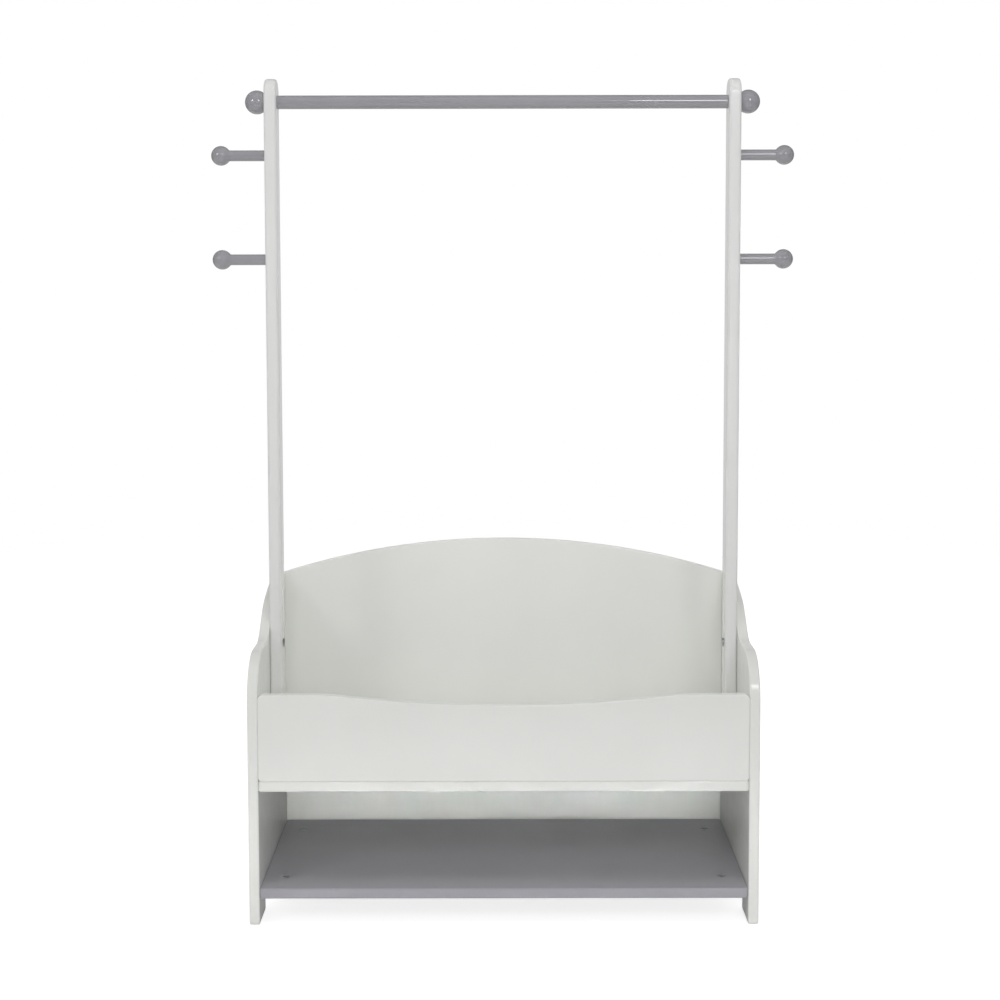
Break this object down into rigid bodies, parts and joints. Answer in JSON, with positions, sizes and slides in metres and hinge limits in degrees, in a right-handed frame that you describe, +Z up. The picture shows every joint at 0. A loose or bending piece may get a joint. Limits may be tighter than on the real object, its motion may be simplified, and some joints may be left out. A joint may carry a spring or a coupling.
{
  "type": "dressing-up storage unit",
  "caption": "Free-standing children's dressing-up unit: swan-necked sides, raised box with a scooped front and arched back, open shelf, posts with a hanging rail and pegs.",
  "frame": {"origin": "on the floor, under the middle of the unit's width and depth", "axes": "+X to the right as seen from the front, +Y towards the back, +Z up"},
  "size_m": [0.861, 0.35, 1.2169],
  "materials": {
    "white_paint": "white satin-gloss lacquer on MDF",
    "grey_paint": "mid-grey satin-gloss lacquer on MDF and turned wood",
    "zinc": "zinc-plated steel and die-cast zinc",
    "beech": "plain beech, unfinished"
  },
  "bodies": {
    "root": {"side_panel_left": "white_paint", "side_panel_right": "white_paint", "box_floor": "white_paint", "bottom_shelf": "grey_paint", "front_panel": "white_paint", "back_panel": "white_paint", "post_left": "white_paint", "post_right": "white_paint", "hanging_rail": "grey_paint", "rail_knob_left": "grey_paint", "rail_knob_right": "grey_paint", "upper_peg_left": "grey_paint", "upper_peg_right": "grey_paint", "lower_peg_left": "grey_paint", "lower_peg_right": "grey_paint", "bottom_shelf_cams": "zinc", "box_floor_cams": "zinc", "front_panel_cams": "zinc", "back_panel_cams": "zinc", "cam_bolts": "zinc", "wooden_dowels": "beech", "post_bolts": "zinc", "post_inserts": "zinc", "rail_studs": "zinc", "peg_studs": "zinc"}
  },
  "joints": []
}
